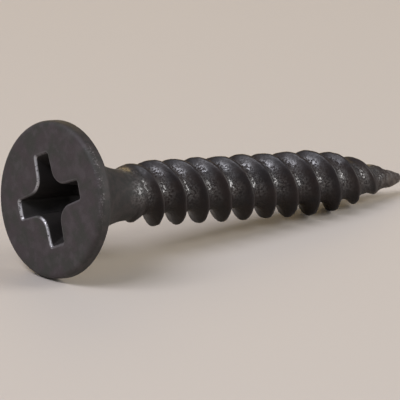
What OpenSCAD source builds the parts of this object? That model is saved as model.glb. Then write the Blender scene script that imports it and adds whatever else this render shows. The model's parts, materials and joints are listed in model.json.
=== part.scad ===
// Drywall screw, 3.5 x 25 mm: bugle head with a cross recess, twin-lead fine thread, sharp point.
// It lies on the surface z = 0, on the rim of its head and on a crest near its point.
// Sizes in millimetres. Places along the screw are measured from the face of the head.

/* [Head] */
// Diameter of the head
head_d = 8.3; // [7.5:0.1:10]
// Height of the rim, from the face to where the underside begins
rim_h = 0.75; // [0.5:0.05:1.2]
// Radius that rounds the rim over into the face
rim_round = 0.3; // [0.1:0.05:0.45]
// Radius of the hollow underside, which sweeps from the rim into the neck
bugle_r = 5; // [4:0.25:7]
// Diameter of the plain neck under the head
neck_d = 2.7; // [2.5:0.05:3.2]

/* [Recess] */
// Width across two opposite wings, at the face
recess_w = 4.9; // [4.2:0.1:5.6]
// Thickness of a wing at its end, at the face
wing_w = 1; // [0.8:0.02:1.2]
// Angle at which each side of a wing leans out towards the centre
wing_flare = 3; // [0:0.5:6]
// Radius of the rounded corners between the wings, at the face
recess_corner_r = 0.9; // [0.6:0.05:1.2]
// Width of the bevel round the mouth of the recess
mouth_bevel = 0.12; // [0.05:0.01:0.2]
// Depth at which the wings end
recess_depth = 2.5; // [1.5:0.1:3]
// Width across two opposite wings, where they end
recess_end_w = 2.25; // [2:0.05:3.2]
// Thickness of a wing at its end, where the wings end
recess_end_wing_w = 0.74; // [0.5:0.02:0.9]
// Radius of the rounded corners between the wings, where they end
recess_end_corner_r = 0.6; // [0.3:0.05:0.7]
// Depth of the centre point below the end of the wings
recess_point = 0.5; // [0.2:0.1:0.8]
// Turn of the recess about the axis, from the side that the screw lies on
recess_turn = 65; // [0:1:89]

/* [Thread] */
// Overall length, from the face to the tip
length = 25; // [20:0.5:50]
// Diameter over the crests
thread_d = 3.5; // [3.3:0.05:4.2]
// Diameter at the root
root_d = 2.15; // [1.9:0.05:2.6]
// Advance of one start in a whole turn
lead = 3.14; // [2.4:0.02:4]
// Number of starts, which share one lead
starts = 2; // [2, 3]
// Width of the root between two ridges
root_w = 0.46; // [0.3:0.02:0.8]
// Width of a ridge halfway up its hollow flanks
waist_w = 0.48; // [0.36:0.02:0.6]
// Width of the blunt top of a ridge
crest_w = 0.1; // [0.06:0.01:0.2]
// Place where the ridges begin to rise, inside the neck
runout_at = 3.4; // [3:0.1:6]
// Length over which the ridges rise to full height
runout_len = 3.7; // [2:0.1:5]
// Length over which the neck narrows to the root
neck_taper = 1.4; // [0.5:0.1:3]
// Turn of the thread about the axis, from the side that the screw lies on
thread_turn = 68; // [0:1:179]

/* [Point] */
// Length over which the crests fall to the tip
crest_point = 7.2; // [5:0.1:9]
// Length over which the core tapers to the tip
core_point = 5.6; // [4:0.1:8]
// Radius of the rounded tip
tip_r = 0.14; // [0.05:0.01:0.25]

/* [Hidden] */

head_r = head_d / 2;
neck_r = neck_d / 2;
root_r = root_d / 2;
crest_r = thread_d / 2;
crest_gap = lead / starts;

// The underside is one arc that ends at the rim and is tangent to the neck.
neck_at = rim_h + sqrt(pow(bugle_r, 2) - pow(bugle_r - head_r + neck_r, 2));
bugle_sweep = acos((bugle_r - head_r + neck_r) / bugle_r);

// Towards the tip, crests and core fall along curves: a power of 1 is straight, more is fuller.
crest_power = 1.78;
core_power = 1.3;

// The ridges are one twisted bar. Its feet lie inside the core, at this share of the core's radius.
foot_share = 0.94;
foot_r = root_r * foot_share;
waist_r = (root_r + crest_r) / 2;
waist_share = (waist_r - foot_r) / (crest_r - foot_r);
ridge_w = max(crest_gap - root_w, waist_w);
foot_w = ridge_w + (ridge_w - waist_w) * (root_r - foot_r) / (waist_r - root_r);
// Distance from the tip at which the bar ends, inside the core.
bar_margin = 0.3;
bar_step = 12;

arc_steps = 16;
point_steps = 10;
tip_steps = 3;
corner_steps = 6;
round_fn = 96;

// The recess starts this far outside the face, and its wings stay this long beyond their corners.
recess_lift = 0.1;
wing_margin = 0.1;

// Share from 0 to 1 of the way from a to b, at x.
function share(x, a, b) = min(max((x - a) / (b - a), 0), 1);

// Radius of the core at a place along the screw.
function core_at(s) =
    root_r - (root_r - tip_r) * pow(share(s, length - core_point, length - tip_r), core_power);

// Radius of the crests at a place along the screw, rising out of the neck and falling to the tip.
function crest_at(s) =
    let (
        full = crest_r * (1 - pow(share(s, length - crest_point, length), crest_power)),
        t = share(s, runout_at, runout_at + runout_len)
    )
    foot_r + (full - foot_r) * t * t * (3 - 2 * t);

// Places where a full crest passes the side that the screw lies on.
low_crests = [
    for (k = [1 : floor(length / crest_gap)])
        let (s = (k - thread_turn * starts / 360) * crest_gap)
        if (s > runout_at + runout_len) s
];

// Lying down, the screw leans until its first crest meets the surface.
lean = min([for (s = low_crests) atan((head_r - crest_at(s)) / (s - rim_h))]);

// The origin is under the middle of the length that the lying screw takes up.
head_reach = (head_r - rim_round) * sin(lean) + rim_round * (1 - cos(lean));
tip_reach = (length - tip_r) * cos(lean) + tip_r;
axis_height = head_r * cos(lean) + rim_h * sin(lean);

// Half section of the head, the neck and the core, as [radius, place].
function half_section() = concat(
    [[0, 0]],
    [for (i = [0 : arc_steps / 2])
        let (a = 180 * i / arc_steps)
        [head_r - rim_round * (1 - sin(a)), rim_round * (1 - cos(a))]],
    [for (i = [0 : arc_steps])
        let (a = bugle_sweep * (1 - i / arc_steps))
        [neck_r + bugle_r * (1 - cos(a)), neck_at - bugle_r * sin(a)]],
    [[root_r, neck_at + neck_taper]],
    [for (i = [0 : point_steps])
        let (s = length - core_point + (core_point - tip_r) * i / point_steps)
        [core_at(s), s]],
    [for (i = [1 : tip_steps])
        let (a = 90 * i / tip_steps)
        [tip_r * cos(a), length - tip_r * (1 - sin(a))]]
);

module blank() {
    rotate_extrude($fn = round_fn) polygon(half_section());
}

// One side of a ridge: its foot, its waist and the edge of its crest, as [width, radius].
function half_ridge(s) =
    let (
        foot = core_at(s) * foot_share,
        crest = max(crest_at(s), foot)
    )
    [[foot_w, foot], [waist_w, foot + (crest - foot) * waist_share], [crest_w, crest]];

// One ring of the twisted bar, which holds every ridge.
function bar_ring(s) =
    let (
        side = half_ridge(s),
        section = concat(
            [for (p = side) [-p[0], p[1]]],
            [for (i = [len(side) - 1 : -1 : 0]) side[i]]
        )
    )
    [
        for (k = [0 : starts - 1], p = section)
            let (a = thread_turn + 360 * (s + p[0] / 2) / lead + 360 * k / starts)
            [p[1] * cos(a), p[1] * sin(a), s]
    ];

module ridges() {
    bar_len = length - bar_margin - runout_at;
    rings = ceil(bar_len / lead * 360 / bar_step);
    n = len(bar_ring(runout_at));
    points = [for (i = [0 : rings]) each bar_ring(runout_at + bar_len * i / rings)];
    sides = [
        for (i = [0 : rings - 1], j = [0 : n - 1])
            let (a = i * n + j, b = i * n + (j + 1) % n)
            each [[a, b + n, b], [a, a + n, b + n]]
    ];
    low_end = [for (j = [0 : n - 1]) j];
    high_end = [for (j = [n - 1 : -1 : 0]) rings * n + j];
    polyhedron(points, concat([low_end, high_end], sides), convexity = 12);
}

// A size of the recess at a depth, from its size at the face and where the wings end.
function tapered(face, end, depth) = face + (end - face) * depth / recess_depth;

// Outline of the recess at a depth, moved outward by a distance: four wings with rounded corners
// between them. The centre of a corner is as far from the sides of both wings as its radius.
function cross_outline(depth, outward) =
    let (
        span = tapered(recess_w, recess_end_w, depth) / 2 + outward,
        half_wing = tapered(wing_w, recess_end_wing_w, depth) / 2 + outward,
        corner_r = tapered(recess_corner_r, recess_end_corner_r, depth) - outward,
        corner = min(corner_r, span - half_wing - wing_margin),
        lean_out = tan(wing_flare),
        centre = (corner / cos(wing_flare) + half_wing + span * lean_out) / (1 + lean_out),
        quarter = concat(
            [[span, -half_wing], [span, half_wing]],
            [for (i = [0 : corner_steps])
                let (a = wing_flare + (90 - 2 * wing_flare) * i / corner_steps)
                [centre - corner * sin(a), centre - corner * cos(a)]]
        )
    )
    [
        for (q = [0 : 90 : 270], p = quarter)
            [p[0] * cos(q) - p[1] * sin(q), p[0] * sin(q) + p[1] * cos(q), depth]
    ];

module cross_recess() {
    mouth = cross_outline(-recess_lift, mouth_bevel + recess_lift);
    throat = cross_outline(mouth_bevel, 0);
    end = cross_outline(recess_depth, 0);
    n = len(mouth);
    centres = [[0, 0, -recess_lift], [0, 0, recess_depth + recess_point]];
    faces = [
        for (j = [0 : n - 1])
            let (k = (j + 1) % n)
            each [
                [j, k, 3 * n],
                [j, n + k, k], [j, n + j, n + k],
                [n + j, 2 * n + k, n + k], [n + j, 2 * n + j, 2 * n + k],
                [2 * n + j, 3 * n + 1, 2 * n + k]
            ]
    ];
    rotate([0, 0, recess_turn])
        polyhedron(concat(mouth, throat, end, centres), faces, convexity = 6);
}

// The screw on end: face down at z = 0, tip up, lying side towards +X.
module upright_screw() {
    difference() {
        union() {
            blank();
            ridges();
        }
        cross_recess();
    }
}

module screw() {
    color([0.16, 0.15, 0.15])
        translate([(head_reach - tip_reach) / 2, 0, axis_height])
            rotate([0, 90 + lean, 0])
                upright_screw();
}

screw();
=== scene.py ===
import json
from math import cos, pi, radians, sin, sqrt, tan, tau

import bpy
import numpy as np
from mathutils import Matrix, Vector


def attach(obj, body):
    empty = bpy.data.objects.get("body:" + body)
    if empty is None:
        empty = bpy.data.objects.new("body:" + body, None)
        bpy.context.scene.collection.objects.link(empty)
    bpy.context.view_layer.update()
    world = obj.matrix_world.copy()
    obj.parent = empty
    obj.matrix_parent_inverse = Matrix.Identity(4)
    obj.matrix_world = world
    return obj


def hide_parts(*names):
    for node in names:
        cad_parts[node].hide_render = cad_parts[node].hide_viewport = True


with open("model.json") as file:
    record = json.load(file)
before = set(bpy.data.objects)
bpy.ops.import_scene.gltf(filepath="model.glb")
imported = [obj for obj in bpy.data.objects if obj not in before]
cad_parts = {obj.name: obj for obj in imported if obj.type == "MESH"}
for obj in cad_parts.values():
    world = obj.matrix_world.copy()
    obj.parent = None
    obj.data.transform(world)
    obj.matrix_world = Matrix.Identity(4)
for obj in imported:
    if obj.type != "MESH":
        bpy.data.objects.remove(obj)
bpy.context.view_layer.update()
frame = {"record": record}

# Screw blank
# A length of low-carbon steel wire. A punch upsets the bugle head and sinks the cross recess, and the far
# end is pinched off to a blunt point. Sizes are in millimetres, and the blank stands on its head's face.

head_r = 4.15
rim_h = 0.75
rim_round = 0.3
bugle_r = 5.0
neck_r = 1.35
neck_at = rim_h + sqrt(bugle_r ** 2 - (bugle_r - head_r + neck_r) ** 2)
neck_taper = 1.4

length = 25.0
root_r = 1.075
core_point = 5.6
core_power = 1.5
tip_r = 0.17
tip_end = 24.72
tip_bulge = 0.12

recess_span = 2.45
recess_half_wing = 0.5
recess_corner_r = 0.9
recess_depth = 2.5
recess_end_span = 1.125
recess_end_half_wing = 0.37
recess_end_corner_r = 0.6
recess_point = 0.5
recess_turn = radians(65)
wing_flare = radians(3)
wing_end_round = 0.12
mouth_round = 0.12

lead = 3.14
starts = 2
thread_turn = radians(68)

# Columns of the mesh in an eighth of a turn: across a wing's end, round its corner, down its side
# and along the rounded corner between two wings.
column_counts = (3, 3, 3, 5)
columns = 8 * sum(column_counts)

# The edge between the rim and the bugle is eased over these distances.
rim_side_end = rim_h - 0.06
rim_edge_at = rim_h - 0.005
rim_edge_out = 0.01
rim_edge_slope = 0.03
bugle_top = rim_h + 0.05

# Bare steel on the edges is part wear and part painted highlight: it is put on the sides of the mouth and
# the rim where the lamps make highlights. Its share on an edge where nothing has struck it, the side of the
# head that a driver bit has slipped towards, and how squarely an edge faces the blow where its share begins
# and where it is full, as cosines. The share on the recess's lip fades where the lip meets the face.
least_wear = 0.12
slip_side = np.array([cos(recess_turn), sin(recess_turn)])
slipped_from, slipped_full = 0.2, 0.9
knocked_from, knocked_full = 0.8, 0.98
lip_fade = 2.5


def ramp(x, a, b):
    """Smooth rise from 0 at a to 1 at b."""
    t = np.clip((np.asarray(x, float) - a) / (b - a), 0, 1)
    return t * t * (3 - 2 * t)


def at_least(least, share):
    """A share from 0 to 1, squeezed into the range from a least value to 1."""
    return least + share * (1 - least)


def arc(centre, radius, angles):
    """Points of an arc at the given angles."""
    return np.array(centre) + radius * np.stack([np.cos(angles), np.sin(angles)], 1)


def turned(ring, angle):
    """A ring of (x, y) points, turned about the axis."""
    return ring @ np.array([[cos(angle), sin(angle)], [-sin(angle), cos(angle)]])


def between(face_size, end_size, depth):
    """A size of the recess at a depth, from its size at the face and where the wings end."""
    return face_size + (end_size - face_size) * depth / recess_depth


def cross_outline(span, half_wing, corner_r, end_round):
    """Outline of the recess, counter-clockwise from the middle of a wing's end, one point a column."""
    ends, rounds, sides, corners = (np.arange(n) / n for n in column_counts)
    end_centre = (span - end_round, half_wing + end_round * (tan(wing_flare) - 1 / cos(wing_flare)))
    middle = (corner_r / cos(wing_flare) + half_wing + span * tan(wing_flare)) / (1 + tan(wing_flare))
    end = np.stack([np.full_like(ends, span), ends * end_centre[1]], 1)
    end_corner = arc(end_centre, end_round, rounds * (pi / 2 - wing_flare))
    corner_angles = 3 * pi / 2 - wing_flare - np.append(corners, 1.0) * (pi / 4 - wing_flare)
    corner = arc((middle, middle), corner_r, corner_angles)
    side_start = arc(end_centre, end_round, np.array([pi / 2 - wing_flare]))
    side = side_start + (corner[:1] - side_start) * sides[:, None]
    eighth = np.concatenate([end, end_corner, side, corner])
    quarter = np.concatenate([eighth[:-1], eighth[:0:-1, ::-1]])
    return np.concatenate([turned(quarter, turn) for turn in (0, pi / 2, pi, 3 * pi / 2)])


def recess_ring(depth, outward=0.0):
    """The recess outline at a depth, moved outward by a distance."""
    span = between(recess_span, recess_end_span, depth) + outward
    half_wing = between(recess_half_wing, recess_end_half_wing, depth) + outward
    corner_r = between(recess_corner_r, recess_end_corner_r, depth) - outward
    return turned(cross_outline(span, half_wing, corner_r, wing_end_round + outward), recess_turn)


def blank_radius(s):
    """Radius of the blank at a place between the rim and the rounded tip."""
    if s < neck_at:
        return neck_r + bugle_r - sqrt(bugle_r ** 2 - (neck_at - s) ** 2)
    pointed = max((s - length + core_point) / (core_point - tip_r), 0) ** core_power
    core = root_r - (root_r - tip_r) * pointed
    return core + (neck_r - root_r) * float(1 - ramp(s, neck_at, neck_at + neck_taper))


# Rings of the mesh, each with its points, its place along the screw, 1 where it is inside the recess,
# and its share of bare steel as an edge, part wear and part painted highlight.
rings = []


def add_ring(ring, place, inside=0, wear=0.0):
    rings.append((ring, place, inside, wear))


# The bottom of the recess, its wall and its rounded mouth.
bottom_rings = 4
wall_shares = np.linspace(0.93, 0.0, 12)
for share in np.arange(1, bottom_rings + 1) / bottom_rings:
    add_ring(recess_ring(recess_depth) * share, recess_depth + recess_point * (1 - share), inside=1)
for share in wall_shares:
    depth = mouth_round + (recess_depth - mouth_round) * share
    add_ring(recess_ring(depth), depth, inside=1)
throat = recess_ring(0)
outward = np.roll(throat, -1, 0) - np.roll(throat, 1, 0)
outward = np.stack([outward[:, 1], -outward[:, 0]], 1) / np.linalg.norm(outward, axis=1)[:, None]
# Painted highlight, partly real wear: bare steel on the mouth's edges that face one side, where the lamps
# light the lip.
slipped = at_least(least_wear, ramp(outward @ slip_side, slipped_from, slipped_full))
for a in np.radians(range(15, 91, 15)):
    depth = mouth_round * (1 - sin(a))
    ring = recess_ring(depth, mouth_round * (1 - cos(a)))
    add_ring(ring, depth, wear=slipped * min(1.0, lip_fade * cos(a)))

# The face and the rounded rim. The columns keep the angles that they have at the mouth.
mouth = rings[-1][0]
mouth_angles = np.unwrap(np.arctan2(mouth[:, 1], mouth[:, 0]))
face_edge_r = head_r - rim_round
face_edge = arc((0, 0), face_edge_r, mouth_angles)
face_shares = np.linspace(0.06, 1.0, 14)
for share in face_shares:
    add_ring(mouth + (face_edge - mouth) * share, 0.0)
# Painted highlight, partly real wear: flecks of bare steel on the rim on the side opposite the slip, where
# the lamps light the rim.
knocked_side = face_edge @ -slip_side / face_edge_r
knocked = at_least(least_wear, ramp(knocked_side, knocked_from, knocked_full))
for a in np.radians(range(10, 91, 10)):
    ring = arc((0, 0), face_edge_r + rim_round * sin(a), mouth_angles)
    add_ring(ring, rim_round * (1 - cos(a)), wear=knocked * sin(a) ** 2)

# From the rim to the tip, as (radius, place). Where they begin to wind, the rings are a few degrees of
# thread apart.
wind_from = 2.0
wind_full = 4.4
shank_from = wind_from + 0.04
shank_step = lead * radians(4) / tau
profile = [(head_r, s) for s in np.linspace(rim_round, rim_side_end, 5)[1:]]
profile += [(blank_radius(rim_h + rim_edge_slope) + rim_edge_out, rim_edge_at)]
profile += [(blank_radius(s), s) for s in np.linspace(bugle_top, wind_from, 14)]
profile += [(blank_radius(s), s) for s in np.arange(shank_from, tip_end - tip_bulge, shank_step)]
profile += [(tip_r * cos(a), tip_end - tip_bulge * (1 - sin(a))) for a in np.radians([0, 20, 40, 60, 78])]

# Along the shank the columns wind with the thread and crowd at its crests.
crowding = 0.5
per_start = columns // starts
steps = np.arange(columns) % per_start / per_start * 2 - 1
crowded = np.sign(steps) * (abs(steps) * (1 - crowding) + steps ** 2 * crowding)
thread_angles = (np.arange(columns) // per_start + crowded / 2) * tau / starts
crest_angle = (thread_turn + tau * (wind_from + wind_full) / 2 / lead) % (tau / starts)
thread_angles += crest_angle - pi / 2

for radius, s in profile:
    t = min(max((s - wind_from) / (wind_full - wind_from), 0), 1)
    wound = (wind_full - wind_from) * (t ** 3 - t ** 4 / 2) + max(s - wind_full, 0)
    blend = float(ramp(s, rim_h, wind_full))
    angles = mouth_angles * (1 - blend) + thread_angles * blend + wound * tau / lead
    add_ring(arc((0, 0), radius, angles), s)

# The rings in one closed mesh, with a pole at the bottom of the recess and one at the tip.
poles = [[0, 0, recess_depth + recess_point], [0, 0, tip_end]]
points = [np.column_stack([ring, np.full(columns, place)]) for ring, place, _, _ in rings]
points = np.concatenate(points + [poles])
inside = np.append(np.repeat([inside for _, _, inside, _ in rings], columns), [1, 0])
wear = np.append(np.concatenate([np.broadcast_to(wear, columns) for _, _, _, wear in rings]), [0, 0])
bottom_pole = len(rings) * columns
tip_pole = bottom_pole + 1
last = bottom_pole - columns
faces = []
for i in range(columns):
    k = (i + 1) % columns
    faces += [(a + k, a + k + columns, a + i + columns, a + i) for a in range(0, last, columns)]
    faces += [(bottom_pole, k, i), (tip_pole, last + i, last + k)]

blank = bpy.data.meshes.new("screw_blank")
blank.from_pydata(points.tolist(), [], faces)
blank.attributes.new("inside", "FLOAT", "POINT").data.foreach_set("value", inside.astype(np.float32))
blank.attributes.new("edge", "FLOAT", "POINT").data.foreach_set("value", wear.astype(np.float32))
blank.update()
screw = bpy.data.objects.new("drywall_screw", blank)
bpy.context.scene.collection.objects.link(screw)


# Thread
# Two right-hand ridges on one lead, which flat dies roll out of the blank while it turns between them.
# They run out on the neck, one a little sooner than the other, and fall to nothing at the torn point.


class Wire:
    """A socket of a node tree. Arithmetic on it adds Math nodes to the tree."""

    def __init__(self, nodes, socket):
        self.nodes = nodes
        self.socket = socket

    def math(self, operation, *others, clamp=False):
        inputs = dict(enumerate((self, *others)))
        return self.nodes.add("ShaderNodeMath", {"operation": operation, "use_clamp": clamp}, inputs)

    def __add__(self, other):
        return self.math("ADD", other)

    def __sub__(self, other):
        return self.math("SUBTRACT", other)

    def __mul__(self, other):
        return self.math("MULTIPLY", other)

    def __truediv__(self, other):
        return self.math("DIVIDE", other)

    def __pow__(self, other):
        return self.math("POWER", other)

    __radd__ = __add__
    __rmul__ = __mul__

    def __rsub__(self, other):
        return self * -1 + other

    def limited(self):
        """This value, kept between 0 and 1."""
        return self.math("ADD", 0.0, clamp=True)

    def rise(self, low, high):
        """Smooth rise from 0 where this is low to 1 where it is high."""
        settings = {"interpolation_type": "SMOOTHSTEP"}
        return self.nodes.add("ShaderNodeMapRange", settings, {0: self, 1: low, 2: high})


class Nodes:
    """Adds nodes to one node tree."""

    def __init__(self, tree):
        self.tree = tree

    def add(self, kind, settings=None, inputs=None, output=0):
        """Adds a node, makes its settings, then gives its sockets their values or links."""
        node = self.tree.nodes.new(kind)
        for name, value in (settings or {}).items():
            setattr(node, name, value)
        for key, value in (inputs or {}).items():
            if isinstance(value, Wire):
                self.tree.links.new(value.socket, node.inputs[key])
            else:
                node.inputs[key].default_value = value
        return Wire(self, node.outputs[output])

    def noise(self, at, scale, detail, roughness=0.5):
        """Noise from 0 to 1, with this many of its largest lumps in a millimetre."""
        inputs = {"Vector": at, "Scale": scale, "Detail": detail, "Roughness": roughness}
        return self.add("ShaderNodeTexNoise", None, inputs)

    def marked(self, geometry, name, kind, value):
        """The geometry, with a value stored on its points under a name."""
        inputs = {"Geometry": geometry, "Name": name, "Value": value}
        return self.add("GeometryNodeStoreNamedAttribute", {"data_type": kind, "domain": "POINT"}, inputs)


thread_sizes = {
    "Lead": lead,
    "Starts": starts,
    "Turn": thread_turn,
    "Crest radius": 1.75,
    "Crest width": 0.06,
    "Crest land": 0.09,
    "Ridge width": 1.3,
    "Head flank power": 1.9,
    "Point flank power": 2.0,
    "Foot radius": root_r * 0.94,
    "Run-out start": 3.4,
    "Run-out length": 3.7,
    "Second start ahead": 0.6,
    "Point start": 17.8,
    "Point length": 6.7,
    "Point power": 1.9,
    "Ragged height": 0.07,
    "Coating start": 4.6,
    "Coating full": 6.6,
    "Coating height": 0.035,
    "Torn start": 22.2,
    "Torn full": 23.3,
    "Torn fade": 23.6,
    "Torn end": 24.6,
    "Torn height": 0.1,
    "Offset full": 24.2,
    "Point offset": 0.05,
}

rolling = bpy.data.node_groups.new("roll_thread", "GeometryNodeTree")
rolling.interface.new_socket("Geometry", in_out="INPUT", socket_type="NodeSocketGeometry")
for name in thread_sizes:
    rolling.interface.new_socket(name, in_out="INPUT", socket_type="NodeSocketFloat")
rolling.interface.new_socket("Material", in_out="INPUT", socket_type="NodeSocketMaterial")
rolling.interface.new_socket("Geometry", in_out="OUTPUT", socket_type="NodeSocketGeometry")
roll = Nodes(rolling)
size = {socket.name: Wire(roll, socket) for socket in rolling.nodes.new("NodeGroupInput").outputs}

place = roll.add("GeometryNodeInputPosition")
across, up, along = (roll.add("ShaderNodeSeparateXYZ", None, {0: place}, output=k) for k in range(3))
radius = (across * across + up * up).math("SQRT")
angle = up.math("ARCTAN2", across)

# Distance along the screw from the land of the nearest crest, then the height of the ridge there,
# from 0 to 1. The flank towards the head is a little fuller than the one towards the point.
laps = (along / size["Lead"] - (angle - size["Turn"]) / tau) * size["Starts"]
lap = laps.math("ROUND")
past = (laps - lap) * size["Lead"] / size["Starts"]
to_point = past.math("GREATER_THAN", 0)
gap = past.math("MAXIMUM", (past + size["Crest land"]) * -1).math("MAXIMUM", 0)
power = size["Head flank power"] + (size["Point flank power"] - size["Head flank power"]) * to_point
half_crest = size["Crest width"] / 2
half_ridge = size["Ridge width"] / 2
reach = (half_ridge * half_ridge + half_crest * half_crest).math("SQRT") - half_crest
flank = ((gap * gap + half_crest * half_crest).math("SQRT") - half_crest) / reach
ridge = (1 - flank).limited() ** power

# Radius of the crests: ragged, rising out of the neck, then falling to the tip. Every second lap belongs to
# the second start.
ragged = roll.noise(place, 2.0, 3.0) - 0.5
second_start = (lap / size["Starts"]).math("FRACT").math("GREATER_THAN", 0.5 / starts)
runout = size["Run-out start"] - second_start * size["Second start ahead"]
risen = along.rise(runout, runout + size["Run-out length"])
pointed = ((along - size["Point start"]) / size["Point length"]).limited() ** size["Point power"]
crest = (size["Crest radius"] + ragged * size["Ragged height"] * 2) * (1 - pointed)
foot = radius.math("MINIMUM", size["Foot radius"])
on_shank = along.math("GREATER_THAN", runout)
height = ((foot + (crest - foot) * risen) - radius).math("MAXIMUM", 0) * ridge * on_shank

# The coating lies in lumps, thicker in the root between two ridges than on a crest.
coat_lumps = roll.noise(place, 3.4, 2.0, 0.6) - 0.5
coated = along.rise(size["Coating start"], size["Coating full"])
coating = coat_lumps * size["Coating height"] * coated * (2 - ridge) * (1 - pointed * 0.8)

# Where the point was pinched off, torn scraps of steel stay on it, and it is a little off the axis.
scraps = roll.noise(place, 1.5, 2.0).rise(0.36, 0.64)
torn = along.rise(size["Torn start"], size["Torn full"])
torn = torn * (1 - along.rise(size["Torn fade"], size["Torn end"]) * 0.65)
torn = torn * at_least(0.2, scraps) * size["Torn height"]
offset = along.rise(size["Torn start"], size["Offset full"]) * size["Point offset"]

axis_gap = 0.001
share = (radius + height + coating + torn) / radius.math("MAXIMUM", axis_gap)
moved = roll.add("ShaderNodeCombineXYZ", None, {0: across * share + offset, 1: up * share, 2: along})
rolled = roll.add("GeometryNodeSetPosition", None, {"Geometry": size["Geometry"], "Position": moved})
rolled = roll.marked(rolled, "ridge", "FLOAT", ridge * on_shank * risen)
rolled = roll.marked(rolled, "on_end", "FLOAT_VECTOR", place)
realized = roll.add("GeometryNodeRealizeInstances", None, {"Geometry": rolled})
finished = {"Geometry": realized, "Material": size["Material"]}
finished = roll.add("GeometryNodeSetMaterial", None, finished)
rolling.links.new(finished.socket, rolling.nodes.new("NodeGroupOutput").inputs[0])


# Black phosphate
# The hardened screw is pickled, coated in a bath of phosphate and dipped in oil. The coat is dull on the
# head, holds oil and pale grit in the valleys of the thread, the grit partly a painted highlight, and shows
# bare steel on the edges, part wear and part painted highlight. The inside of the recess is painted dark as
# shade.

phosphate = bpy.data.materials.new("black_phosphate")
phosphate.use_nodes = True
coat = Nodes(phosphate.node_tree)
shader = phosphate.node_tree.nodes["Principled BSDF"]


def attribute(name, output):
    """A value that the mesh holds on its points: output 1 is a vector, output 2 a number."""
    return coat.add("ShaderNodeAttribute", {"attribute_name": name}, output=output)


def as_input(colour):
    """A colour as a socket takes it: a wire as it is, three numbers with an alpha."""
    return colour if isinstance(colour, Wire) else (*colour, 1)


def mixed(share, under, over):
    """Colour between two colours."""
    inputs = {0: share, 6: as_input(under), 7: as_input(over)}
    return coat.add("ShaderNodeMix", {"data_type": "RGBA"}, inputs, output=2)


# Where each finish begins and where it is full, in millimetres from the face of the head.
rim_place = (0.0, 0.3)
bugle_place = (1.0, 3.2)
thread_place = (thread_sizes["Coating start"], thread_sizes["Coating full"])
oil_place = (4.2, 5.0)
point_place = (22.4, 23.8)
held_at_rim = 0.85

# Worn edges nearer than this to the middle of the face are the recess's, and the others are the rim's.
recess_reach = 3.2

# What a point of the surface is: its place while the screw stands on its head, its height on a ridge,
# whether it is in the recess, and its share of bare steel as an edge, part wear and part painted highlight.
on_end = attribute("on_end", 1)
ridge = attribute("ridge", 2)
inside = attribute("inside", 2)
edge = attribute("edge", 2)
downward = coat.add("ShaderNodeSeparateXYZ", None, {0: on_end}, output=0)
along = coat.add("ShaderNodeSeparateXYZ", None, {0: on_end}, output=2)
from_centre = coat.add("ShaderNodeVectorMath", {"operation": "LENGTH"}, {0: on_end}, output=1)
by_recess = from_centre.math("LESS_THAN", recess_reach)
handled = along.rise(*rim_place) * held_at_rim + along.rise(*bugle_place) * (1 - held_at_rim)
threaded = along.rise(*thread_place)
at_point = along.rise(*point_place)
upper_side = 1 - downward.rise(-0.4, 0.7)
valley = 1 - ridge.rise(0.1, 0.7)
hollow = 1 - ridge.rise(0.05, 0.45)

# Patterns of the coat, from large blotches to fine grain.
blotches = coat.noise(on_end, 0.9, 3.0)
smudges = coat.noise(on_end, 1.3, 3.0, 0.45)
smears = coat.noise(on_end, 2.6, 4.0, 0.6)
lumps = coat.noise(on_end, 4.5, 2.0, 0.6)
scuffs = coat.noise(on_end, 5.0, 4.0, 0.75)
crystals = coat.noise(on_end, 8.0, 3.0, 0.7)
droplets = coat.noise(on_end, 9.0, 2.0, 0.6)
flecks = coat.noise(on_end, 13.0, 3.0, 0.7)
grain = coat.noise(on_end, 16.0, 3.0, 0.65)

purple_grey = (0.050, 0.039, 0.041)
green_grey = (0.038, 0.037, 0.032)
dry_smudge = (0.078, 0.066, 0.069)
dark_pore = (0.030, 0.026, 0.026)
greased = (0.011, 0.010, 0.009)
greased_brown = (0.024, 0.018, 0.017)
greased_grain = (0.040, 0.034, 0.031)
oily_violet = (0.008, 0.005, 0.0055)
oily_brown = (0.012, 0.006, 0.005)
pale_grit = (0.10, 0.10, 0.12)
torn_dark = (0.034, 0.023, 0.019)
torn_brown = (0.072, 0.057, 0.047)
# Painted shade for the inside of the recess.
recess_black = (0.012, 0.010, 0.009)
bare_steel = (0.50, 0.49, 0.50)

# The dull coat of the head, darker where fingers have held the rim and the bugle.
dull = mixed(blotches.rise(0.42, 0.62), purple_grey, green_grey)
dull = mixed(smudges.rise(0.46, 0.68) * 0.55, dull, dry_smudge)
dull = mixed(smears.rise(0.50, 0.70) * 0.15, dull, dry_smudge)
dull = mixed(grain.rise(0.35, 0.65) * 0.25, dull, dark_pore)
held = mixed(smears.rise(0.42, 0.62), greased, greased_brown)
held = mixed(grain.rise(0.5, 0.7) * 0.5, held, greased_grain)
dull = mixed(handled, dull, held)

# The oily coat of the thread, with pale specks in its roots, partly grit and partly painted highlight
# speckle, and the torn brown point.
grit = crystals.rise(0.52, 0.64) * smears.rise(0.42, 0.6) * (1 - ridge.rise(0.05, 0.5)) * threaded
oiled = mixed(blotches.rise(0.40, 0.60), oily_violet, oily_brown)
# Painted highlight, partly grit: pale specks in the roots of the thread.
oiled = mixed(grit * 0.12, oiled, pale_grit)
torn_steel = mixed(lumps.rise(0.40, 0.62), torn_dark, torn_brown)

# Bare steel, part wear and part painted highlight: it shows where a driver bit has slipped out of the
# recess, and in flecks on a knocked part of the rim, on the sides where the lamps make highlights.
rim_steel = 0.45
at_mouth = edge * by_recess * scuffs.rise(0.36, 0.48)
at_rim = edge * (1 - by_recess) * flecks.rise(0.54, 0.64) * smears.rise(0.46, 0.56) * rim_steel
rubbed = at_mouth + at_rim

colour = mixed(threaded, dull, oiled)
colour = mixed(at_point * 0.85, colour, torn_steel)
# Painted shade: the inside of the recess is darkened towards near black, where shade falls.
colour = mixed(inside * 0.75, colour, recess_black)
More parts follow.
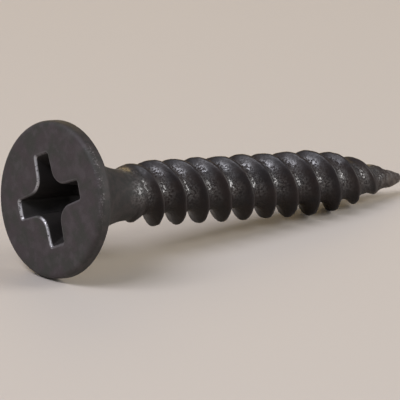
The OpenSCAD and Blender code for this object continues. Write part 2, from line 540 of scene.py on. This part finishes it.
# Painted highlight, partly real wear: bare steel on the edges that the lamps light.
colour = mixed(rubbed * 0.9, colour, bare_steel)

# Oil stands in droplets in the valleys, most of it on the side that faces up.
film = along.rise(*oil_place) * droplets.rise(0.43, 0.57) * at_least(0.55, smears.rise(0.40, 0.60))
film = film * at_least(0.07, valley) * at_least(0.08, upper_side) * (1 - at_point * 0.6)

# The coat is rough and uneven, a little smoother on the thread and where steel shows.
coat_roughness = 0.62
thread_smoother = 0.16
grain_contrast = 0.3
steel_smoother = 0.2
roughness = coat_roughness - threaded * thread_smoother + (grain - 0.5) * grain_contrast
roughness = roughness - rubbed * steel_smoother

# Crystals and lumps of the coat stand out in the valleys, and fine grain everywhere.
bump_height = 0.00004
bump_strength = 0.6
grain_height = 0.25
smear_height = 0.4
hollow_height = 2.4
rough_coat = (crystals + lumps) * threaded * (at_least(0.2, valley) + hollow * hollow_height)
relief = grain * grain_height + rough_coat * at_least(0.35, upper_side) + smears * smear_height
bump = {"Strength": bump_strength, "Distance": bump_height, "Height": relief}
bumped = coat.add("ShaderNodeBump", None, bump)

finish = {
    "Base Color": colour,
    "Roughness": roughness.limited(),
    "Metallic": (rubbed * 0.8).limited(),
    "Coat Weight": film,
    "Normal": bumped,
}
for name, wire in finish.items():
    phosphate.node_tree.links.new(wire.socket, shader.inputs[name])
shader.inputs["Specular IOR Level"].default_value = 0.4
shader.inputs["Coat Roughness"].default_value = 0.26
shader.inputs["Coat IOR"].default_value = 1.9

roller = screw.modifiers.new("thread", "NODES")
roller.node_group = rolling
for socket in rolling.interface.items_tree:
    if socket.in_out == "INPUT" and socket.name in thread_sizes:
        roller[socket.identifier] = float(thread_sizes[socket.name])
    if socket.in_out == "INPUT" and socket.name == "Material":
        roller[socket.identifier] = phosphate

mesh = bpy.data.meshes.new_from_object(screw.evaluated_get(bpy.context.evaluated_depsgraph_get()))
screw.modifiers.remove(roller)
screw.data = mesh
mesh.name = "drywall_screw"

# The screw lies where the drive recess of the frame says, pointing along its axis.
drive = next(mount for mount in frame["record"]["mounts"] if mount["name"] == "drive_recess")
to_tip = -Vector(drive["axis"]).normalized()
side = Vector((0, 1, 0))
lying = Matrix((side.cross(to_tip), side, to_tip)).transposed().to_4x4()
metres = 0.001
mesh.transform(Matrix.Translation(drive["pos_m"]) @ lying @ Matrix.Scale(metres, 4))
mesh.shade_smooth()
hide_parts("screw")
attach(screw, "root")


# Surface
# The plain pale board that the screw lies on, two metres square so that no edge of it shows.
# It is matt, with a warm tint.

pale_warm = (0.52, 0.475, 0.43, 1)
matt = 0.7

floor_mesh = bpy.data.meshes.new("floor")
floor_mesh.from_pydata([(-1, -1, 0), (1, -1, 0), (1, 1, 0), (-1, 1, 0)], [], [(0, 1, 2, 3)])
floor = bpy.data.objects.new("floor", floor_mesh)
bpy.context.scene.collection.objects.link(floor)
board = bpy.data.materials.new("pale_board")
board.use_nodes = True
board.node_tree.nodes["Principled BSDF"].inputs["Base Color"].default_value = pale_warm
board.node_tree.nodes["Principled BSDF"].inputs["Roughness"].default_value = matt
floor_mesh.materials.append(board)


# Light
# A tall soft lamp in front on the right, a wide cooler one on the side of the head, and a weak warm one
# behind, in an evenly pale room. The tall one makes the bright arcs in the valleys of the thread.

room_level = 0.27
neutral = (1, 0.98, 0.96)
cool = (0.91, 0.91, 1)
warm = (1, 0.68, 0.24)


def soft_lamp(name, place, width, height, power, colour):
    """A lamp with an upright panel, its sizes in metres, turned to the screw."""
    data = bpy.data.lights.new(name, "AREA")
    data.shape = "RECTANGLE"
    data.size = width
    data.size_y = height
    data.energy = power
    data.color = colour
    lamp = bpy.data.objects.new(name, data)
    lamp.location = place
    lamp.rotation_euler = (-Vector(place)).to_track_quat("-Z", "Y").to_euler()
    bpy.context.scene.collection.objects.link(lamp)


room = bpy.data.worlds.new("room")
room.use_nodes = True
room.node_tree.nodes["Background"].inputs["Color"].default_value = (1, 1, 1, 1)
room.node_tree.nodes["Background"].inputs["Strength"].default_value = room_level
bpy.context.scene.world = room
soft_lamp("front", (0.219, -0.281, 0.182), 0.15, 0.30, 1.15, neutral)
soft_lamp("head_side", (-0.211, 0.011, 0.280), 0.22, 0.13, 0.89, cool)
soft_lamp("behind", (0.10, 0.17, 0.11), 0.14, 0.14, 0.07, warm)


# Camera
# It looks from the head's side and a little above, from far enough off for a nearly parallel view.
# The sizes are in metres, and the middle of the picture is measured from the centre of the head's face.

azimuth = radians(-39.29)
elevation = radians(16.18)
distance = 0.45
view_width = 0.02089
sensor_width = 36
middle_from_face = Vector((0.007885, -0.00005))

backward = Vector((sin(azimuth) * cos(elevation), -cos(azimuth) * cos(elevation), sin(elevation)))
rightward = Vector((cos(azimuth), sin(azimuth), 0))
upward = backward.cross(rightward)
face_centre = Vector(drive["pos_m"])
lens = bpy.data.cameras.new("camera")
lens.sensor_width = sensor_width
lens.lens = sensor_width * distance / view_width
camera = bpy.data.objects.new("camera", lens)
camera.location = face_centre + backward * distance
aim = face_centre + rightward * middle_from_face.x + upward * middle_from_face.y - camera.location
camera.rotation_euler = aim.to_track_quat("-Z", "Y").to_euler()
bpy.context.scene.collection.objects.link(camera)
bpy.context.scene.camera = camera
bpy.context.scene.view_settings.view_transform = "Standard"
